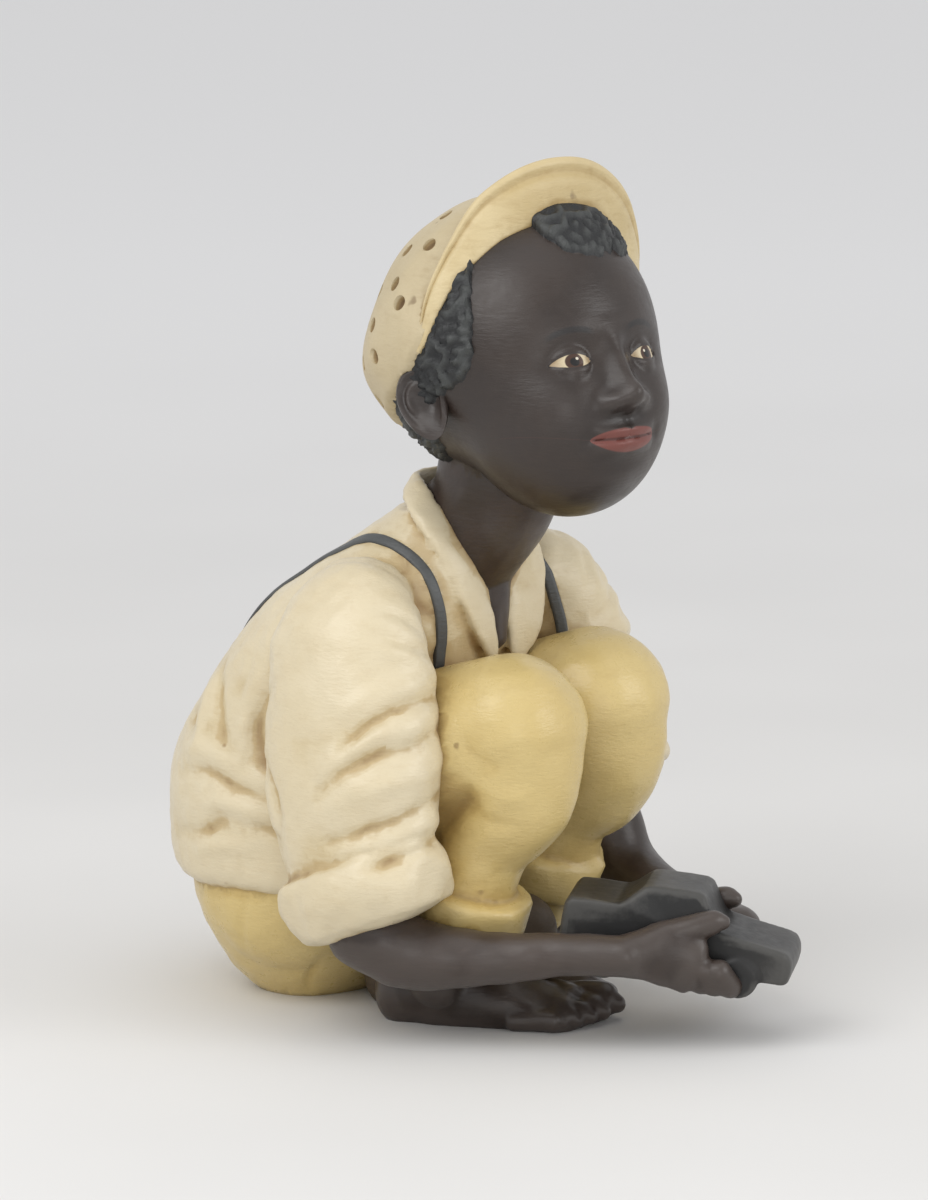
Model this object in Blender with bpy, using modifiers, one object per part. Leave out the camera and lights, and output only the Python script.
"""A painted plaster figure of a child squatting with a toy car.

The figure is one cast, and so one solid. It faces -Y, +X is its left and +Z is up. Its parts are shaped in
units of a 400th of its height, about a point on the ground behind the feet, and the finished figure is moved
level so that the origin is the middle of its footprint's box.
"""

import math

import bmesh
import bpy
import numpy as np
from mathutils import Matrix, Vector
from mathutils.bvhtree import BVHTree

FIGURE_HEIGHT = 0.400  # metres, ground to the crown of the cap
UNIT = FIGURE_HEIGHT / 400  # the pose and proportions below are in these

CAR_LENGTH = 0.108
CAR_WIDTH = 0.046
CAR_BODY_HEIGHT = 0.027  # sill to deck
CAR_CABIN_HEIGHT = 0.0098
CAR_WHEEL_RADIUS = 0.009
CAR_WHEEL_WIDTH = 0.009
BRIM_WIDTH = 0.032
BRIM_THICKNESS = 0.0055
CAP_CLOTH = 0.0055  # how far the cap stands off the skull
BRACE_WIDTH = 0.0056
BRACE_RAISE = 0.0022
COLLAR_WIDTH = 0.017
COLLAR_THICKNESS = 0.006
SLEEVE_CUFF_HEIGHT = 0.030
SLEEVE_CUFF_THICKNESS = 0.005
TROUSER_CUFF_HEIGHT = 0.021
TROUSER_CUFF_THICKNESS = 0.0055
HAIR_CURL = 0.0085  # across one lock

VOXEL = 0.0021 * FIGURE_HEIGHT / 0.400
KEPT_TRIANGLES = 0.04  # share of the fine surface's faces that is kept
SINK = 6.0  # units that the feet and the seat reach below the ground before they are cut flat

HEAD_CENTRE = (-4, -56, 302)
HEAD_YAW = math.radians(-18)
HEAD_PITCH = math.radians(20)
CAP_TILT = math.radians(39)
CAP_MOUTH = 24  # height of the plane of the cap's mouth above the skull's middle, at its side
# How far the cap's edge lies above that plane, by degrees from the front: it dips over the ears.
CAP_EDGE = ([0, 25, 45, 60, 75, 90, 105, 120, 145, 180], [5, 4.5, 1, -4, -8, -9, -8, -3, 2, 3])
CAP_SLUMP = 4.5  # how much further the crown stands off the skull at the back
CAP_TUCK = 6  # how far the crown stops above the brim's root
BRIM_MIDDLE = 15  # degrees that the brim is worn to the left
BRIM_SPREAD = 96  # degrees to each side of its middle
# The brim's width as a share of its full width, and how steeply it rises, by degrees from its middle.
BRIM_TURNS = [0, 15, 25, 35, 45, 55, 65, 75, 85, 96]
BRIM_SHARES = [1, 0.95, 0.9, 0.8, 0.71, 0.51, 0.4, 0.36, 0.25, 0.08]
BRIM_RISE = [44, 44.5, 46, 50, 54, 61, 68, 75, 80, 84]
BRIM_SINK = 1.5  # how far its root lies inside the skull at its middle
BRIM_OVERLAP = 2.5  # how much further out it lies at its ends, over the crown
HAIR_TURNS = [0, 8, 22, 34, 50, 56, 60, 64, 76, 96, 104, 118, 140, 180]
HAIR_HEIGHTS = [45, 41, 45, 58, 60, 48, 26, 11, 4, -4, -14, -24, -31, -35]
LEFT_TEMPLE = 10  # degrees that the hair's edge lies further back at the left temple
HAIR_THICK = 2.8
CURL_RISE = 0.9
TUFT_RISE = 4.5  # extra thickness of the tuft over the brow
LOCKS = 700
TOE_IN = math.radians(24)
CUFF_TILT = math.radians(15)
CAR_CENTRE = (2, -136, 62.9)
CAR_YAW = math.radians(26)
CAR_PITCH = math.radians(6.5)


def units(metres):
    return metres / UNIT


# Curves, blends and other small sums

def spline(rows, count):
    """Count rows read from the smooth curve through the given rows."""
    rows = np.array(rows, float)
    spans = len(rows) - 1
    ends = np.vstack([2 * rows[0] - rows[1], rows, 2 * rows[-1] - rows[-2]])
    place = np.linspace(0, spans, count)
    i = np.minimum(place.astype(int), spans - 1)
    f = (place - i)[:, None]
    a, b, c, d = ends[i], ends[i + 1], ends[i + 2], ends[i + 3]
    cubic = 3 * b - a - 3 * c + d
    square = 2 * a - 5 * b + 4 * c - d
    return 0.5 * (2 * b + (c - a) * f + square * f**2 + cubic * f**3)


def ramp(start, end, value):
    t = np.clip((value - start) / (end - start), 0, 1)
    return t * t * (3 - 2 * t)


def bump(x, z, centre_x, centre_z, wide, tall):
    return np.exp(-(((x - centre_x) / wide) ** 2) - ((z - centre_z) / tall) ** 2)


def unit_rows(vectors):
    return vectors / np.linalg.norm(vectors, axis=-1, keepdims=True)


# Meshes, each a closed body in figure units

pieces = []


def add_mesh(name, points, faces):
    mesh = bpy.data.meshes.new(name)
    mesh.from_pydata((np.array(points) * UNIT).tolist(), [], faces)
    mesh.update()
    obj = bpy.data.objects.new(name, mesh)
    pieces.append(obj)
    return obj


def loft(name, rings):
    """A closed skin over rings of points, each end shut by a fan to the middle of its last ring."""
    count, around = rings.shape[:2]
    points = np.vstack([rings.reshape(-1, 3), rings[0].mean(0), rings[-1].mean(0)])
    i = np.arange(around)
    j = (i + 1) % around
    row = np.arange(count - 1)[:, None] * around
    quads = np.stack([row + i, row + j, row + around + j, row + around + i], -1).reshape(-1, 4)
    foot = count * around
    last = (count - 1) * around
    bottom = np.stack([np.full(around, foot), j, i], -1)
    top = np.stack([np.full(around, foot + 1), last + i, last + j], -1)
    return add_mesh(name, points, quads.tolist() + bottom.tolist() + top.tolist())


def level_stack(name, rows, around=72, along=48, square=2.3):
    """Level rings one above another.

    A row is z, middle x, middle y, half width, half depth and turn in degrees.
    """
    rows = spline(rows, along)
    angle = np.linspace(0, 2 * math.pi, around, endpoint=False)
    power = 2 / square
    across = np.sign(np.cos(angle)) * np.abs(np.cos(angle)) ** power
    deep = np.sign(np.sin(angle)) * np.abs(np.sin(angle)) ** power
    x, y = rows[:, 3:4] * across, rows[:, 4:5] * deep
    turn = np.radians(rows[:, 5:6])
    level = np.repeat(rows[:, :1], around, 1)
    rings = [
        rows[:, 1:2] + x * np.cos(turn) - y * np.sin(turn),
        rows[:, 2:3] + x * np.sin(turn) + y * np.cos(turn),
        level,
    ]
    return loft(name, np.stack(rings, -1))


def limb(name, rows, side=(1, 0, 0), around=36, along=40, end=1.0):
    """Rings square to a smooth path. A row is x, y, z, half size along side, half size across it.

    Each end is a half ellipsoid, as long as end times the thinner half size.
    """
    rows = spline(rows, along)
    centre, wide, deep = rows[:, :3], rows[:, 3], rows[:, 4]
    forward = unit_rows(np.gradient(centre, axis=0))
    swing = np.linspace(0, math.pi / 2, 7)[1:-1]
    starts = centre[0] - forward[0] * end * min(wide[0], deep[0]) * np.sin(swing)[::-1, None]
    ends = centre[-1] + forward[-1] * end * min(wide[-1], deep[-1]) * np.sin(swing)[:, None]
    centre = np.vstack([starts, centre, ends])
    forward = np.vstack([forward[[0] * 5], forward, forward[[-1] * 5]])
    wide = np.concatenate([wide[0] * np.cos(swing)[::-1], wide, wide[-1] * np.cos(swing)])
    deep = np.concatenate([deep[0] * np.cos(swing)[::-1], deep, deep[-1] * np.cos(swing)])
    side = np.array(side, float)
    across = unit_rows(side - forward * (forward @ side)[:, None])
    up = np.cross(forward, across)
    angle = np.linspace(0, 2 * math.pi, around, endpoint=False)
    rings = centre[:, None] + (wide[:, None] * np.cos(angle))[..., None] * across[:, None]
    rings = rings + (deep[:, None] * np.sin(angle))[..., None] * up[:, None]
    return loft(name, rings)


def tube(name, rows, bevel_resolution=4):
    """A curve with round ends that sink inside their neighbours. A row is x, y, z, radius."""
    curve = bpy.data.curves.new(name, "CURVE")
    curve.dimensions = "3D"
    curve.bevel_depth = UNIT
    curve.bevel_resolution = bevel_resolution
    curve.use_fill_caps = True
    rows = spline(rows, 6 * len(rows))
    run = curve.splines.new("POLY")
    run.points.add(len(rows) - 1)
    for point, (x, y, z, radius) in zip(run.points, rows):
        point.co = (x * UNIT, y * UNIT, z * UNIT, 1)
        point.radius = radius
    return keep_as_mesh(bpy.data.objects.new(name, curve))


def keep_as_mesh(guide):
    """The closed mesh of a curve object, which it replaces."""
    bpy.context.scene.collection.objects.link(guide)
    graph = bpy.context.evaluated_depsgraph_get()
    mesh = bpy.data.meshes.new_from_object(guide.evaluated_get(graph))
    form = bmesh.new()
    form.from_mesh(mesh)
    bmesh.ops.remove_doubles(form, verts=form.verts, dist=1e-6)
    form.to_mesh(mesh)
    form.free()
    obj = bpy.data.objects.new(guide.name, mesh)
    obj.matrix_world = guide.matrix_world
    bpy.data.objects.remove(guide)
    pieces.append(obj)
    return obj


def ball(name, shape, across=64, rings=44):
    """A sphere whose points the function shape moves, all at once, from their directions."""
    form = bmesh.new()
    bmesh.ops.create_uvsphere(form, u_segments=across, v_segments=rings, radius=1)
    mesh = bpy.data.meshes.new(name)
    form.to_mesh(mesh)
    form.free()
    towards = np.empty(len(mesh.vertices) * 3)
    mesh.vertices.foreach_get("co", towards)
    points = shape(unit_rows(towards.reshape(-1, 3))) * UNIT
    mesh.vertices.foreach_set("co", points.ravel())
    mesh.update()
    obj = bpy.data.objects.new(name, mesh)
    pieces.append(obj)
    return obj


# The head, in its own frame: centre of the skull at the origin, face towards -Y

def head_to_figure():
    turn = Matrix.Rotation(HEAD_YAW, 4, "Z") @ Matrix.Rotation(-HEAD_PITCH, 4, "X")
    return Matrix.Translation(Vector(HEAD_CENTRE) * UNIT) @ turn


def reach(towards, centre, radii):
    """How far a ray from the origin runs to the far side of an ellipsoid."""
    centre, radii = np.array(centre, float), np.array(radii, float)
    d, c = towards / radii, centre / radii
    a = (d**2).sum(-1)
    b = (d * c).sum(-1)
    return (b + np.sqrt(np.maximum(b * b - a * ((c**2).sum() - 1), 0))) / a


def skull(towards):
    """The cranium and the face, two ellipsoids blended."""
    cranium = reach(towards, (0, 7, 17), (60, 68, 62))
    face = reach(towards, (0, -16, -20), (47, 43, 50))
    return (cranium**9 + face**9) ** (1 / 9)


def face_relief(x, z):
    """A calm generic child's face on even proportions: how far it stands off the skull."""
    side = np.abs(x)
    relief = 3.0 * bump(side, z, 30, -27, 15, 15)
    relief += 1.5 * bump(side, z, 19, 10, 13, 5)
    relief += 3.0 * bump(x, z, 0, -60, 11, 8)
    relief += 4.2 * bump(x, z, 0, -43, 20, 12)
    relief -= 4.2 * bump(side, z, 20.5, -4.5, 14, 9)
    eye = np.sqrt(np.maximum(10.5**2 - (side - 20.5) ** 2 - (z + 6) ** 2, 0)) - 7.2
    relief += np.maximum(eye, 0) * 1.2
    under_nose = ramp(-34, -29.5, z)
    bridge = np.interp(z, [-30, -22, -12, -3, 6, 14], [9.5, 9.5, 6.5, 3.6, 1.4, 0])
    nose_width = np.interp(z, [-30, -20, -5, 10], [7.0, 6.0, 4.8, 6.5])
    relief += bridge * np.exp(-((side / nose_width) ** 2.2)) * under_nose
    relief += 4.6 * bump(x, z, 0, -24.5, 6.5, 5.5) * under_nose
    relief += 6.0 * bump(side, z, 9, -27, 4.8, 4.6) * under_nose
    lips = np.maximum(1 - (x / 17.5) ** 2, 0)
    relief += 2.6 * np.exp(-(((z + 40.4) / 2.6) ** 2)) * lips
    relief += 3.2 * np.exp(-(((z + 47.4) / 3.0) ** 2)) * lips
    relief -= 2.2 * np.exp(-(((z + 43.6) / 1.3) ** 2)) * ramp(19.5, 15, side)
    return relief


def make_head():
    def shape(towards):
        points = towards * skull(towards)[:, None]
        points[:, 1] -= face_relief(points[:, 0], points[:, 2]) * ramp(0.15, 0.75, -towards[:, 1])
        return points

    return ball("head", shape, across=110, rings=80)


def make_ear(side):
    """A thin lens with a hollow in its outer face."""

    def shape(towards):
        points = towards * (5.0, 11.5, 18.5)
        hollow = 4.2 * bump(points[:, 1], points[:, 2], 2, -2, 6, 9) * (towards[:, 0] > 0)
        points[:, 0] -= hollow
        points[:, 0] *= side
        return points

    ear = ball(f"ear_{side}", shape, 32, 24)
    if side < 0:
        ear.data.flip_normals()
    lean = Matrix.Rotation(math.radians(-12), 4, "X")
    lean = lean @ Matrix.Rotation(math.radians(-16 * side), 4, "Z")
    ear.matrix_world = Matrix.Translation(Vector((57 * side, 8, -10)) * UNIT) @ lean
    return ear


def hair_edge(towards):
    """Height of the hair's lower edge for each direction, from the tuft over the brow round to the nape."""
    turn = np.degrees(np.arctan2(np.abs(towards[:, 0]), -towards[:, 1]))
    turn -= LEFT_TEMPLE * (towards[:, 0] > 0) * ramp(45, 60, turn)
    return np.interp(turn, HAIR_TURNS, HAIR_HEIGHTS)


def curls(towards, seed=4):
    """Rings about scattered middles, from -1 to 1, each one lock of short curly hair."""
    middles = unit_rows(np.random.default_rng(seed).normal(size=(LOCKS, 3)))
    nearest = np.arccos(np.clip(towards @ middles.T, -1, 1)).min(1)
    across = units(HAIR_CURL) / 70  # in radians on the skull, whose radius is about 70
    return np.cos(np.minimum(nearest / across * 2 * math.pi, 3 * math.pi))


def make_hair():
    def shape(towards):
        base = skull(towards)
        height = towards[:, 2] * base
        inside = ramp(-2.5, 2.5, height - hair_edge(towards))
        tuft = TUFT_RISE * ramp(44, 62, height) * ramp(-10, -35, towards[:, 1] * base)
        tuft *= np.exp(-((np.arctan2(towards[:, 0], -towards[:, 1]) / 0.9) ** 4))
        grown = (HAIR_THICK + CURL_RISE * curls(towards) + tuft) * inside - 4 * (1 - inside)
        return towards * (base + grown)[:, None]

    return ball("hair", shape, 120, 90)


def cap_frame():
    """Turns directions square to the cap's mouth into the head's frame."""
    return np.array(Matrix.Rotation(-CAP_TILT, 3, "X"))


def over_mouth(points):
    """How far points of the head lie above the cap's edge."""
    level = (points[:, 2] - CAP_MOUTH) * math.cos(CAP_TILT) + points[:, 1] * math.sin(CAP_TILT)
    flat = points @ cap_frame()
    return level - np.interp(np.degrees(np.abs(np.arctan2(flat[:, 0], -flat[:, 1]))), *CAP_EDGE)


def from_brim(points):
    """Degrees about the cap's axis from the middle of the brim."""
    flat = points @ cap_frame()
    turn = np.degrees(np.arctan2(flat[:, 0], -flat[:, 1])) - BRIM_MIDDLE
    return np.abs((turn + 180) % 360 - 180)


def make_cap():
    """The crown: the skull plus the cloth above the cap's edge, and sunk inside it below."""

    def shape(towards):
        towards = towards @ cap_frame().T
        base = skull(towards)
        points = towards * base[:, None]
        above = over_mouth(points)
        worn = ramp(-3, 1.5, above - CAP_TUCK * ramp(80, 50, from_brim(points)))
        cloth = units(CAP_CLOTH) + CAP_SLUMP * ramp(0, 45, points[:, 1]) * ramp(50, 5, above)
        return towards * (base + cloth * worn - 6 * (1 - worn))[:, None]

    return ball("cap", shape, 100, 70)


def make_brim():
    """A turned-up band on the cap's edge, which stands up at its middle and hugs the crown at its ends."""
    frame = cap_frame()
    rows = 70
    share = np.linspace(-1, 1, rows)
    spread = np.abs(share) * BRIM_SPREAD
    turn = np.radians(BRIM_MIDDLE + share * BRIM_SPREAD)
    lift = CAP_MOUTH * math.cos(CAP_TILT) + np.interp(np.degrees(np.abs(turn)), *CAP_EDGE)
    out = np.stack([np.sin(turn), -np.cos(turn), 0 * turn], -1)
    reach_out = 62.0 * np.ones(rows)
    for _ in range(5):  # each pass brings the root closer to the skull
        towards = unit_rows(out * reach_out[:, None] + np.array([0, 0, 1]) * lift[:, None])
        reach_out = np.sqrt(np.maximum(skull(towards @ frame.T) ** 2 - lift**2, 1))
    reach_out += BRIM_OVERLAP * ramp(45, 75, spread) - BRIM_SINK
    root = (out * reach_out[:, None] + np.array([0, 0, 1]) * lift[:, None]) @ frame.T
    out = out @ frame.T
    up = frame @ (0, 0, 1)
    width = units(BRIM_WIDTH) * np.interp(spread, BRIM_TURNS, BRIM_SHARES)
    rise = np.radians(np.interp(spread, BRIM_TURNS, BRIM_RISE))[:, None]
    loop = np.linspace(0, 2 * math.pi, 20, endpoint=False)
    along = (1 - np.cos(loop)) / 2
    face = units(BRIM_THICKNESS) / 2 * np.sqrt(np.abs(np.sin(loop))) * np.sign(np.sin(loop))
    step = width[:, None] * along
    rings = root[:, None] + out[:, None] * (step * np.cos(rise))[..., None]
    rings = rings + up * (step * np.sin(rise))[..., None]
    normal = up * np.cos(rise) - out * np.sin(rise)
    return loft("brim", rings + normal[:, None] * face[None, :, None])


def place_on_head(obj):
    obj.matrix_world = head_to_figure() @ obj.matrix_world


# The body and the clothes

def make_body():
    level_stack(
        "shirt",
        [
            (55, 0, 58, 74, 62, 0),
            (63, 0, 58, 82, 70, 0),
            (85, 0, 58, 84, 71, 0),
            (109, 0, 56, 84, 72, 0),
            (133, 0, 48, 81, 71, 2),
            (161, 0, 36, 78, 65, 5),
            (189, 0, 22.5, 72, 54.5, 6),
            (207, 0, 10.5, 63, 42.5, 6),
            (220, 0, 2, 48, 33, 4),
            (236, -1, -7, 29, 21, 0),
        ],
        along=60,
    )
    level_stack(
        "seat",
        [
            (-SINK, 0, 64, 34, 20, 0),
            (3, 0, 64, 44, 30, 0),
            (16, 0, 63, 57, 41, 0),
            (38, 0, 61, 72, 53, 0),
            (62, 0, 59, 77, 58, 0),
            (80, 0, 58, 74, 58, 0),
        ],
    )
    limb(
        "neck",
        [
            (0, -8, 200, 26, 22),
            (0, -18, 220, 27, 26),
            (0, -30, 240, 27, 29),
            (-3, -40, 264, 27, 32),
        ],
    )
    limb(
        "chest",
        [
            (0, -14, 232, 27, 21),
            (1, -17, 212, 20, 18),
            (1, -20, 192, 11, 14.5),
            (1, -24, 176, 5, 9),
        ],
    )
    for side, set_back in ((-1, 0), (1, 9)):
        limb(
            f"thigh_{side}",
            [
                (40 * side, 58, 52, 42, 42),
                (42 * side, 20, 92, 41, 41),
                (41 * side, -24, 124, 38, 38),
                (37 * side, -66 + set_back * 0.4, 143, 35, 34),
            ],
        )
        limb(
            f"shin_{side}",
            [
                (37 * side, -67 + set_back * 0.4, 142, 35, 34),
                (39 * side, -68 + set_back * 0.6, 112, 27, 29),
                (42 * side, -54 + set_back, 88, 22, 22.5),
                (45 * side, -47 + set_back, 62, 20, 20),
                (46 * side, -38 + set_back, 40, 14, 15),
                (47 * side, -30 + set_back, 20, 14, 16),
            ],
        )
        make_trouser_cuff(side, set_back)
        make_foot(side, set_back)
    limb("infill", [(0, 10, 12, 36, 22), (0, -30, 40, 30, 34), (-4, -52, 62, 22, 26)])


def make_trouser_cuff(side, set_back):
    tall = units(TROUSER_CUFF_HEIGHT)
    proud = units(TROUSER_CUFF_THICKNESS)
    low = 47 + (3 if side > 0 else 0)
    lean = 6
    steps = [(0, -3), (0.06, proud - 1.5), (0.3, proud), (0.8, proud + 0.8), (0.97, proud - 0.5), (1, -3)]
    rows = []
    for share, stand in steps:
        middle = -44 + set_back - lean * share
        rows.append((low + tall * share, 44.5 * side, middle, 21.5 + stand, 22.5 + stand, 0))
    level_stack(f"trouser_cuff_{side}", rows, 60, 24, 2.1)


# The foot from its heel, as rows of along, across, height, half width and half height.
# Its toes, as rows of across, radius and length.
FOOT = [(8, 0, 12, 13, 17), (24, 0, 15, 17, 21), (46, -1, 12, 18, 19), (66, -2, 8, 20, 14), (82, -3, 5, 21, 11)]
TOES = [(-16, 8.6, 27), (-6, 6.8, 24), (2, 6.2, 21), (9, 5.7, 17), (15, 5.3, 13)]


def make_foot(side, set_back):
    """The feet toe in. The sole lies below the ground until it is cut flat."""
    heel = np.array([48 * side, -3 + set_back])
    forward = np.array([-math.sin(TOE_IN) * side, -math.cos(TOE_IN)])
    outward = np.array([math.cos(TOE_IN) * side, -math.sin(TOE_IN)])

    def on_sole(along, across):
        return heel + forward * along + outward * across

    limb(
        f"foot_{side}",
        [(*on_sole(along, across), z, wide, tall) for along, across, z, wide, tall in FOOT],
        side=(*outward, 0),
    )
    for number, (across, radius, length) in enumerate(TOES):
        root = 79 - 1.5 * number
        bends = [(-10, 0.9, radius - 1), (0.45 * length, 1, radius + 0.5)]
        bends += [(0.8 * length, 1.04, radius - 0.5), (length, 0.55, radius - 1.5)]
        tube(
            f"toe_{side}_{number}",
            [(*on_sole(root + reach_on, across), height, radius * size) for reach_on, size, height in bends],
        )


# How far a sleeve's cuff stands out, as a share of its thickness, from its top to its hem.
CUFF_SWELL = [(0.0, -0.2), (0.08, 0.8), (0.5, 1.0), (0.92, 0.2), (1.0, -0.8)]


def make_arms():
    limb(
        "sleeve_right",
        [
            (-58, 2, 198, 24, 26),
            (-76, -4, 184, 30, 37),
            (-84, -10, 148, 33, 43),
            (-89, -15, 112, 34, 46),
            (-91, -19, 84, 32, 44),
        ],
        end=0.6,
    )
    limb(
        "sleeve_left",
        [
            (56, -7, 194, 24, 26),
            (69, -13, 181, 27, 31),
            (79, -18, 148, 29, 33),
            (84, -24, 118, 29, 34),
        ],
        end=0.6,
    )
    proud, tall = units(SLEEVE_CUFF_THICKNESS), units(SLEEVE_CUFF_HEIGHT)
    drop = np.array([0, -math.sin(CUFF_TILT), -math.cos(CUFF_TILT)])
    for name, top, across, deep, size in (
        ("right", (-91.5, -17, 83), 31, 43, 1),
        ("left", (84, -25, 116), 28, 33, 0.85),
    ):
        top = np.array(top, float)
        rows = []
        for share, stand in CUFF_SWELL:
            middle = top + drop * tall * size * share
            rows.append((*middle, across + proud * stand, deep + proud * stand))
        limb(f"cuff_{name}", rows, around=48, end=0.12)
    limb(
        "forearm_right",
        [
            (-92, -24, 53, 19, 19),
            (-84, -44, 43, 17, 17),
            (-70, -74, 42, 12.5, 13),
            (-54, -106, 45, 10, 10.5),
            (-41, -132, 45.5, 9.5, 10.5),
        ],
        side=(0, 0, 1),
    )
    limb(
        "forearm_left",
        [
            (85, -28, 92, 18, 18),
            (84, -48, 52, 16.5, 16.5),
            (68, -92, 42, 12, 12),
            (50, -134, 42, 9.5, 10.5),
        ],
        side=(0, 0, 1),
    )


# The toy car and the hands on it, placed in the car's own frame

def car_to_figure():
    """Its x runs from the middle to the front, y to the car's left and z up from its deck."""
    turn = Matrix.Rotation(CAR_YAW - math.pi / 2, 4, "Z") @ Matrix.Rotation(CAR_PITCH, 4, "Y")
    return Matrix.Translation(Vector(CAR_CENTRE) * UNIT) @ turn


def on_car(along, side, up):
    """A point given by shares of the car's half length and half width, and units above its deck."""
    local = Vector((along * CAR_LENGTH / 2, side * CAR_WIDTH / 2, up * UNIT))
    return tuple(car_to_figure() @ local / UNIT)


def make_car():
    length, sill, roof = CAR_LENGTH, -CAR_BODY_HEIGHT, CAR_CABIN_HEIGHT
    outline = [
        (-0.500, sill + 0.004),
        (-0.492, -0.002),
        (-0.470, 0),
        (-0.256, 0),
        (-0.160, roof * 0.96),
        (0.080, roof),
        (0.166, -0.0058),
        (0.440, -0.0108),
        (0.490, -0.0135),
        (0.500, sill + 0.008),
        (0.485, sill),
        (-0.485, sill),
    ]
    curve = bpy.data.curves.new("car", "CURVE")
    curve.dimensions = "2D"
    curve.fill_mode = "BOTH"
    curve.extrude = CAR_WIDTH / 2
    run = curve.splines.new("POLY")
    run.points.add(len(outline) - 1)
    for point, (share, height) in zip(run.points, outline):
        point.co = (share * length, height, 0, 1)
    run.use_cyclic_u = True
    body = bpy.data.objects.new("car", curve)
    body = keep_as_mesh(body)
    body.matrix_world = car_to_figure() @ Matrix.Rotation(math.pi / 2, 4, "X")
    for number, (share, side) in enumerate(((0.28, -1), (0.28, 1), (-0.3, -1), (-0.3, 1))):
        form = bmesh.new()
        bmesh.ops.create_cone(
            form,
            cap_ends=True,
            segments=32,
            radius1=CAR_WHEEL_RADIUS,
            radius2=CAR_WHEEL_RADIUS,
            depth=CAR_WHEEL_WIDTH,
        )
        mesh = bpy.data.meshes.new(f"wheel_{number}")
        form.to_mesh(mesh)
        form.free()
        wheel = bpy.data.objects.new(mesh.name, mesh)
        place = Vector((share * length, side * (CAR_WIDTH - CAR_WHEEL_WIDTH + 0.002) / 2, sill + 0.0005))
        on_side = Matrix.Translation(place) @ Matrix.Rotation(math.pi / 2, 4, "X")
        wheel.matrix_world = car_to_figure() @ on_side
        pieces.append(wheel)


def make_hand(name, side, wrist):
    """A palm beside the car, a thumb on its upper edge and four fingers under its sill."""
    sill = -units(CAR_BODY_HEIGHT)
    palm = on_car(-0.08, side * 1.30, sill * 0.75)
    knuckle = on_car(0.16, side * 1.26, sill * 0.92)
    limb(
        f"palm_{name}",
        [(*wrist, 9.5, 10.5), (*palm, 14.5, 9), (*knuckle, 14, 7.5)],
        side=(0, 0, 1),
    )
    tube(
        f"thumb_{name}",
        [
            (*on_car(-0.16, side * 1.28, sill * 0.45), 7.6),
            (*on_car(0.10, side * 1.16, sill * 0.22), 6.6),
            (*on_car(0.30, side * 1.04, -1.5), 5.8),
            (*on_car(0.38, side * 0.98, -1.0), 3.2),
        ],
    )
    for number in range(4):
        start = 0.02 + 0.125 * number
        tube(
            f"finger_{name}_{number}",
            [
                (*on_car(start, side * 1.25, sill * 0.95), 6.6),
                (*on_car(start + 0.10, side * 1.06, sill * 1.22), 6.2),
                (*on_car(start + 0.13, side * 0.66, sill * 1.25), 5.6),
                (*on_car(start + 0.12, side * 0.40, sill * 1.18), 4.6),
            ],
        )


# Collar and braces lie on the shirt

def make_collar():
    """A band that lies open down the chest, carried from the nape to both of its points."""
    wide, thick = units(COLLAR_WIDTH), units(COLLAR_THICKNESS)
    for side in (-1, 1):
        rows = np.array(
            [
                (0, 8, 246, 0.5, 0.9),
                (16 * side, 4, 246, 0.55, 1),
                (29 * side, -9, 241, 0.7, 1),
                (31 * side, -20, 230, 0.9, 1),
                (26 * side, -28, 215, 1, 1),
                (21 * side, -32, 199, 0.95, 1),
                (14 * side, -34, 183, 0.8, 1),
                (8 * side, -34, 168, 0.4, 0.8),
            ],
            float,
        )
        rows[:, 3] *= wide * 0.62
        rows[:, 4] *= thick / 2
        rows[3:, 1] -= 1.5
        limb(f"collar_{side}", rows, side=(side * 0.8, -0.1, -0.5), around=24)


# Folds: how deep and wide each is, and its path on the skin as rows of turn in degrees and height.
# The turn is 0 at the front and runs over the figure's right side to 180 at the back.

CREASES = [
    (3.2, 5, [(99, 195), (108, 178), (111, 162), (109, 144), (104, 126), (98, 104), (92, 82)]),
    (1.8, 4, [(60, 207), (51, 201), (45, 191)]),
    (1.6, 4, [(65, 190), (56, 188), (45, 180)]),
    (2.6, 4, [(43, 167), (48, 163), (56, 158), (63, 150), (70, 140)]),
    (2.2, 4, [(42, 154), (48, 146), (53, 139)]),
    (2.2, 4, [(42, 136), (50, 126), (60, 120), (74, 119)]),
    (2.0, 4, [(46, 112), (56, 104), (68, 101)]),
    (2.2, 4, [(125, 85), (112, 87), (100, 94)]),
    (2.0, 4, [(150, 98), (136, 92), (124, 97)]),
    (1.8, 5, [(140, 160), (136, 136), (140, 112)]),
    (1.8, 5, [(124, 168), (122, 146), (126, 122)]),
    (2.0, 4, [(176, 92), (164, 82), (152, 80)]),
]
RIDGES = [
    (2.2, 6, [(83, 194), (88, 175), (93, 157), (97, 136)]),
    (2.0, 5, [(146, 88), (132, 82), (118, 78)]),
    (2.0, 5, [(178, 84), (164, 90), (150, 92)]),
]
BRACE = [
    (-42, -40, 160),
    (-43, -38, 178),
    (-43, -27, 207),
    (-42, -2, 221),
    (-42, 20, 221),
    (-41, 42, 212),
    (-39, 63, 197),
    (-34, 85, 178),
    (-24, 104, 152),
    (-8, 118, 126),
    (10, 124, 100),
    (20, 122, 66),
]


def on_skin(skin, turn, height):
    """Where a level ray towards the body's axis first meets the skin."""
    turn = math.radians(turn)
    away = Vector((-math.sin(turn), -math.cos(turn), 0))
    start = Vector((0, 25, height)) + away * 250
    return skin.ray_cast(start * UNIT, -away)[0] / UNIT


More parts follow.
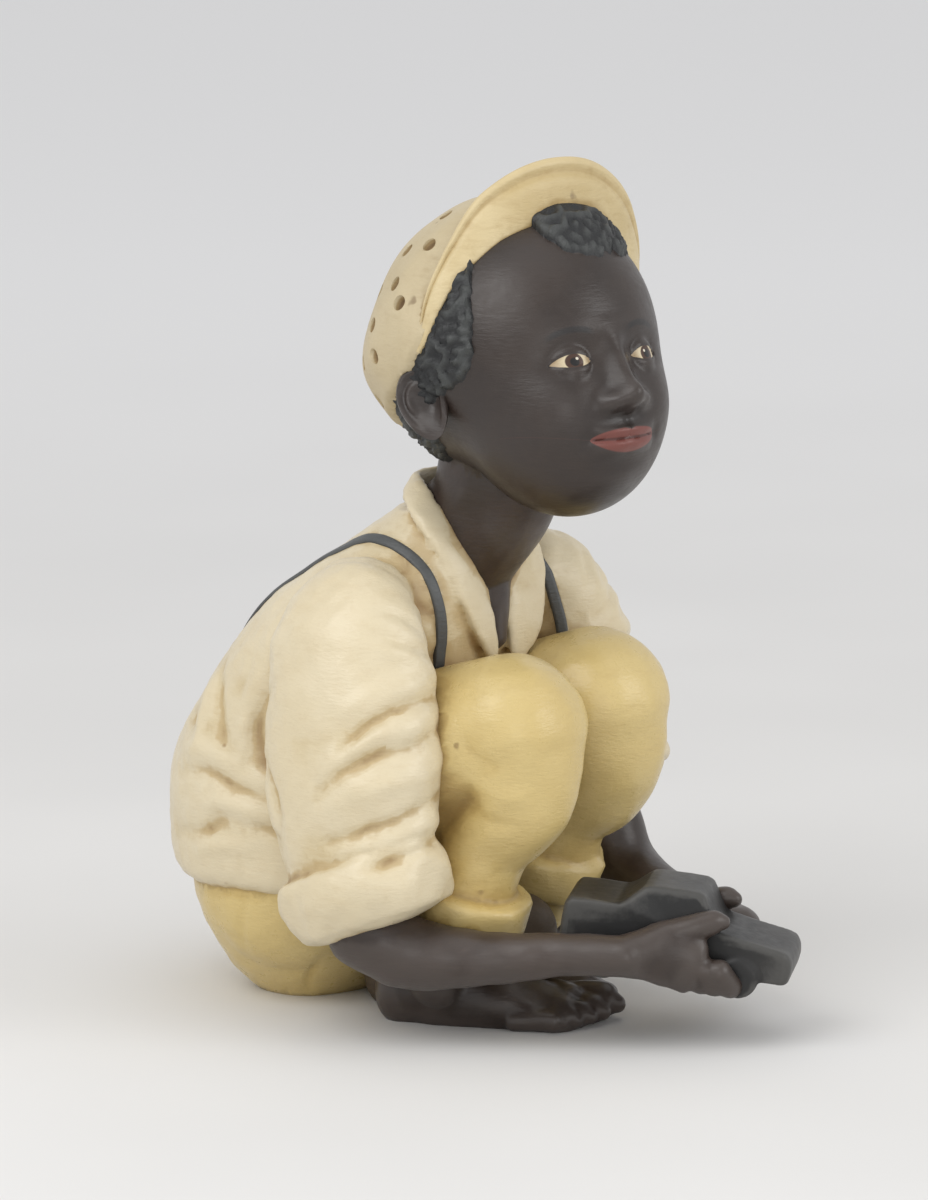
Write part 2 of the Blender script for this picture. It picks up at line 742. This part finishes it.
def press(points, normals, path, depth, width, flat=0.0):
    """Moves points by depth along their normals beside the path, fading over width past its flat middle."""
    path = spline(path, 10 * len(path))
    near = np.full(len(points), 1e9)
    which = np.zeros(len(points), int)
    box = np.all((points > path.min(0) - 4 * width) & (points < path.max(0) + 4 * width), axis=1)
    gaps = np.linalg.norm(points[box, None] - path[None], axis=2)
    near[box], which[box] = gaps.min(1), gaps.argmin(1)
    ends = np.sin(math.pi * np.clip(which / (len(path) - 1), 0.02, 0.98)) ** (0.5 if flat == 0 else 0.1)
    fade = np.exp(-((np.maximum(near - flat, 0) / width) ** 2))
    return points + normals * (depth * ends * fade)[:, None]


def emboss(mesh):
    points = np.empty(len(mesh.vertices) * 3)
    normals = np.empty(len(mesh.vertices) * 3)
    mesh.vertices.foreach_get("co", points)
    mesh.vertex_normals.foreach_get("vector", normals)
    points, normals = points.reshape(-1, 3) / UNIT, normals.reshape(-1, 3)
    skin = BVHTree.FromPolygons((points * UNIT).tolist(), [list(face.vertices) for face in mesh.polygons])
    for side in (-1, 1):
        for sign, folds in ((-1, CREASES), (1, RIDGES)):
            for depth, width, rows in folds:
                path = [on_skin(skin, -side * turn, height) for turn, height in rows]
                points = press(points, normals, path, sign * depth, width)
        brace = [skin.find_nearest(Vector((-x * side, y, z)) * UNIT)[0] / UNIT for x, y, z in BRACE]
        points = press(points, normals, brace, units(BRACE_RAISE), 0.8, units(BRACE_WIDTH) / 2)
    mesh.vertices.foreach_set("co", (points * UNIT).ravel())
    mesh.update()


def gather_and_fuse():
    """All bodies in one mesh, fused by a fine voxel skin, then eased so that they flow into each other."""
    bpy.context.view_layer.update()
    form = bmesh.new()
    for obj in pieces:
        mesh = obj.data.copy()
        mesh.transform(obj.matrix_world)
        form.from_mesh(mesh)
        bpy.data.meshes.remove(mesh)
    joined = bpy.data.meshes.new("figure_rough")
    form.to_mesh(joined)
    form.free()
    for obj in pieces:
        bpy.data.objects.remove(obj)
    rough = bpy.data.objects.new("figure_rough", joined)
    bpy.context.scene.collection.objects.link(rough)
    skin = rough.modifiers.new("skin", "REMESH")
    skin.mode = "VOXEL"
    skin.voxel_size = VOXEL
    ease = rough.modifiers.new("ease", "SMOOTH")
    ease.factor = 0.5
    ease.iterations = 2
    graph = bpy.context.evaluated_depsgraph_get()
    fused = bpy.data.meshes.new_from_object(rough.evaluated_get(graph))
    bpy.data.objects.remove(rough)
    emboss(fused)
    return fused


def finish_figure(mesh, collection, cutters):
    mesh.name = "figure"
    figure = bpy.data.objects.new("figure", mesh)
    collection.objects.link(figure)
    thin = figure.modifiers.new("thin", "DECIMATE")
    thin.ratio = KEPT_TRIANGLES
    ground = bpy.data.meshes.new("ground_cutter")
    form = bmesh.new()
    bmesh.ops.create_cube(form, size=FIGURE_HEIGHT * 3)
    form.to_mesh(ground)
    form.free()
    cutter = bpy.data.objects.new("ground_cutter", ground)
    cutter.location.z = -FIGURE_HEIGHT * 1.5
    cutter.hide_render = True
    cutter.display_type = "WIRE"
    cutters.objects.link(cutter)
    flat = figure.modifiers.new("flat_underside", "BOOLEAN")
    flat.operation = "DIFFERENCE"
    flat.solver = "EXACT"
    flat.object = cutter
    paint = bpy.data.materials.new("painted_plaster")
    paint.use_nodes = True
    shader = paint.node_tree.nodes["Principled BSDF"]
    shader.inputs["Base Color"].default_value = (0.62, 0.47, 0.27, 1)
    shader.inputs["Roughness"].default_value = 0.55
    shader.inputs["Metallic"].default_value = 0.0
    mesh.materials.clear()
    mesh.materials.append(paint)
    centre_on_origin(figure)


def centre_on_origin(figure):
    """Moves the mesh level, until the middle of the finished solid's box is over the origin."""
    bpy.context.view_layer.update()
    finished = figure.evaluated_get(bpy.context.evaluated_depsgraph_get())
    corners = np.array([tuple(corner) for corner in finished.bound_box])
    middle = (corners.min(0) + corners.max(0)) / 2
    figure.data.transform(Matrix.Translation((-middle[0], -middle[1], 0)))


def main():
    for obj in list(bpy.data.objects):
        bpy.data.objects.remove(obj)
    parts = bpy.data.collections.new("plaster_child_figure")
    cutters = bpy.data.collections.new("cutters")
    bpy.context.scene.collection.children.link(parts)
    bpy.context.scene.collection.children.link(cutters)
    cutters.hide_render = True
    make_body()
    make_arms()
    make_car()
    make_hand("right", -1, (-42, -130, 45.5))
    make_hand("left", 1, (50, -134, 42))
    make_collar()
    for piece in (make_head(), make_ear(-1), make_ear(1), make_hair(), make_cap(), make_brim()):
        place_on_head(piece)
    finish_figure(gather_and_fuse(), parts, cutters)


main()
